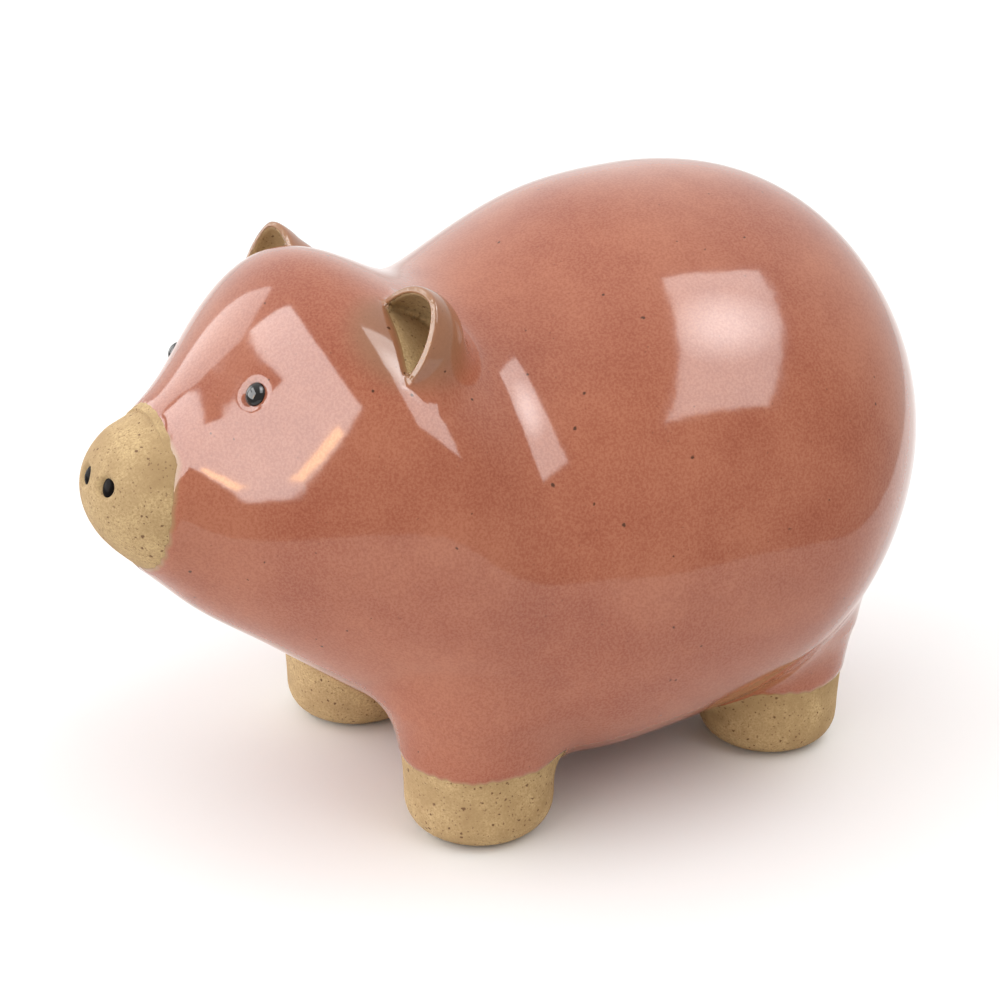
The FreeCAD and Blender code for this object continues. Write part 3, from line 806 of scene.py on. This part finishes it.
def buildClay():
    # bare stoneware: clouds and sand between a light and a dark buff, two sizes of specks, a gritty face
    material, tree, make, shader = startMaterial("buffStoneware")
    g = clayLook
    place = make("ShaderNodeTexCoord").outputs["Object"]
    cloud = make("ShaderNodeTexNoise", {"Scale": 130.0, "Detail": 6.0, "Roughness": 0.65}, {"Vector": place})
    sand = make("ShaderNodeTexNoise", {"Scale": 2600.0, "Detail": 2.0, "Roughness": 0.7}, {"Vector": place})
    cloudy = make("ShaderNodeMapRange", {"From Min": 0.35, "From Max": 0.65}, {"Value": cloud.outputs[0]})
    sandy = make("ShaderNodeMapRange", {"From Min": 0.38, "From Max": 0.64}, {"Value": sand.outputs[0]})
    color = mixColor(make, cloudy.outputs[0], g["light"], g["dark"])
    darkShare = make("ShaderNodeMath", {1: g["sand"]}, {0: sandy.outputs[0]}, operation="MULTIPLY")
    color = mixColor(make, darkShare.outputs[0], color, g["dark"])
    faint = make("ShaderNodeMath", {1: g["faint"]}, {0: specks(make, 1300.0, 1.0, 0.32)}, operation="MULTIPLY")
    color = mixColor(make, faint.outputs[0], color, g["speck"])
    color = mixColor(make, specks(make, 650.0, 0.9, 0.25), color, g["speck"])
    tree.links.new(color, shader.inputs["Base Color"])
    bump = make("ShaderNodeBump", {"Strength": g["grit"], "Distance": 0.0003}, {"Height": sand.outputs[0]})
    tree.links.new(bump.outputs[0], shader.inputs["Normal"])
    shader.inputs["Roughness"].default_value = g["rough"]
    return material


blackLook = {"black": (0.004, 0.004, 0.005, 1), "brown": (0.012, 0.009, 0.008, 1)}


def buildBlack(name, rough, index):
    # iron black glaze with a faint brown cloud, of a given roughness and index of refraction
    material, tree, make, shader = startMaterial(name)
    place = make("ShaderNodeTexCoord").outputs["Object"]
    cloud = make("ShaderNodeTexNoise", {"Scale": 700.0, "Detail": 4.0}, {"Vector": place})
    color = mixColor(make, cloud.outputs[0], blackLook["black"], blackLook["brown"])
    tree.links.new(color, shader.inputs["Base Color"])
    shader.inputs["Roughness"].default_value = rough
    shader.inputs["IOR"].default_value = index
    return material


pinkGlaze, buffStoneware = buildGlaze(), buildClay()
blackGlaze, nostrilGlaze = buildBlack("blackGlaze", 0.07, 1.5), buildBlack("nostrilGlaze", 0.25, 1.12)


def finishPiece(piece, material, nodes):
    # the piece gets its material, rides the body and stands for its CAD nodes
    piece.data.materials.append(material)
    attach(piece, "root")
    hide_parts(*nodes)


finishPiece(glazeCoat, pinkGlaze,
            ["body_glaze", "left_ear_glaze", "right_ear_glaze", "tail_glaze", "tail"]
            + [name + "_leg_glaze" for name in legSet["places"]])
carries = {"snoutClay": ["snout"], "frontLeftFoot": ["front_left_leg"], "frontRightFoot": ["front_right_leg"],
           "rearLeftFoot": ["rear_left_leg"], "rearRightFoot": ["rear_right_leg"],
           "leftEarClay": ["left_ear"], "rightEarClay": ["right_ear"]}
for name, piece in clayPieces.items():
    finishPiece(piece, buffStoneware, carries[name])
for name, piece in beadPieces.items():
    finishPiece(piece, nostrilGlaze if "nostril" in name else blackGlaze, [name])
for slot in bpy.data.objects["body_shell"].material_slots:
    slot.material = buffStoneware
print("materials made")

cameraSet = {"azimuth": 60.78, "elevation": 23.53, "distance": 395.63, "lens": 83.02, "sensor": 36,
             "clip": (0.01, 50), "target": (-0.63, -2.73, 45.37)}
a, e = math.radians(cameraSet["azimuth"]), math.radians(cameraSet["elevation"])
back = Vector((math.sin(a) * math.cos(e), -math.cos(a) * math.cos(e), math.sin(e)))
right = Vector((math.cos(a), math.sin(a), 0))
upward = back.cross(right)
lens = bpy.data.cameras.new("camera")
lens.lens = cameraSet["lens"]
lens.sensor_width = cameraSet["sensor"]
lens.clip_start, lens.clip_end = cameraSet["clip"]
camera = bpy.data.objects.new("camera", lens)
turn = Matrix((right, upward, back)).transposed()
camera.location = (Vector(cameraSet["target"]) + back * cameraSet["distance"]) * mm
camera.rotation_euler = turn.to_euler()
bpy.context.collection.objects.link(camera)
bpy.context.scene.camera = camera

floorSet = {"corners": ((-3.0, -0.16), (0.30, -0.16), (0.30, -0.065), (-2.2, 2.4), (-3.0, 2.4)),
            "color": (0.88, 0.88, 0.88, 1), "rough": 0.7, "specular": 0.1}
floorMesh = bpy.data.meshes.new("floor")
corners = [(x, y, 0) for x, y in floorSet["corners"]]
floorMesh.from_pydata(corners, [], [tuple(range(len(corners)))])
floor = bpy.data.objects.new("floor", floorMesh)
bpy.context.collection.objects.link(floor)
floorMaterial, tree, make, shader = startMaterial("paleFloor")
shader.inputs["Base Color"].default_value = floorSet["color"]
shader.inputs["Roughness"].default_value = floorSet["rough"]
shader.inputs["Specular IOR Level"].default_value = floorSet["specular"]
floorMesh.materials.append(floorMaterial)

# the room: a pale sky that grows brighter towards one side
roomSet = {"dim": (0.59, 0.565, 0.535, 1), "bright": (1.2, 1.2, 1.2, 1), "brightWay": (-0.62, 0.25, 0.74),
           "from": 0.0, "to": 0.95}
world = bpy.data.worlds.new("studio")
world.use_nodes = True
tree = world.node_tree
make = nodeMaker(tree)
heading = make("ShaderNodeTexCoord")
towards = make("ShaderNodeVectorMath", {1: roomSet["brightWay"]}, {0: heading.outputs["Generated"]},
               operation="DOT_PRODUCT")
rise = make("ShaderNodeMapRange", {"From Min": roomSet["from"], "From Max": roomSet["to"]},
            {"Value": towards.outputs["Value"]}, interpolation_type="SMOOTHSTEP")
shade = mixColor(make, rise.outputs[0], roomSet["dim"], roomSet["bright"])
tree.links.new(shade, tree.nodes["Background"].inputs[0])
bpy.context.scene.world = world


lightSet = {"middle": (0, 0, 0.06), "shineGap": 0.02}


def lampAt(name, azimuth, elevation, distance, width, height, power, shine, roll=0, shape="RECTANGLE",
           color=(1, 1, 1), shift=(0, 0)):
    # a flat studio light on a sphere round the figure, facing its middle, and a second one just behind
    # it that shows in reflections only. Angles in degrees, sizes in metres, power in watts
    a, e = math.radians(azimuth), math.radians(elevation)
    heading = Vector((math.cos(a) * math.cos(e), math.sin(a) * math.cos(e), math.sin(e)))
    turn = heading.to_track_quat("Z", "Y") @ Quaternion((0, 0, 1), math.radians(roll))
    for kind, energy in (("", power), ("Shine", shine)):
        if not energy:
            continue
        data = bpy.data.lights.new(name + kind, "AREA")
        data.shape = shape
        data.size, data.size_y = width, height
        data.energy = energy
        data.color = color
        lamp = bpy.data.objects.new(name + kind, data)
        away = distance + (lightSet["shineGap"] if kind else 0)
        lamp.location = Vector(lightSet["middle"]) + heading * away + turn @ Vector((*shift, 0))
        lamp.rotation_euler = turn.to_euler()
        lamp.visible_diffuse = kind == ""
        bpy.context.collection.objects.link(lamp)


lamps = [
    ("softBox", 32, 59, 1.2, 0.54, 1.2, 5.8, 4.8, -41),
    ("sideWindowRight", -95, 26, 1.1, 0.81, 1.28, 4.7, 18.0, -10, "RECTANGLE", (1, 1, 1), (0.405, 0)),
    ("sideWindowTop", -95, 26, 1.1, 0.81, 0.43, 1.6, 6.1, -10, "RECTANGLE", (1, 1, 1), (-0.405, 0.425)),
    ("sideWindowLow", -95, 26, 1.1, 0.81, 0.74, 2.7, 10.4, -10, "RECTANGLE", (1, 1, 1), (-0.405, -0.27)),
    ("frontWindow", -152, 16, 1.1, 0.44, 0.85, 1.3, 2.0, -12),
    ("warmStrip", -63, 12, 1.08, 0.07, 0.50, 0.1, 1.2, -23, "RECTANGLE", (1.0, 0.5, 0.12)),
]
# the soft box is brighter towards one place: round lamps of falling size, one before the other
glowSet = {"count": 7, "size": 0.6, "step": 0.08, "distance": 1.19, "gap": 0.004, "shine": 2.5}
for step in range(glowSet["count"]):
    size, away = glowSet["size"] - glowSet["step"] * step, glowSet["distance"] - glowSet["gap"] * step
    lamps.append(("softBoxGlow%d" % step, 37, 62, away, size, size, 0, glowSet["shine"] * size ** 2, 0, "ELLIPSE"))
for lamp in lamps:
    lampAt(*lamp)
bpy.context.scene.view_settings.view_transform = "Standard"

bpy.context.view_layer.update()
print("scene ready")
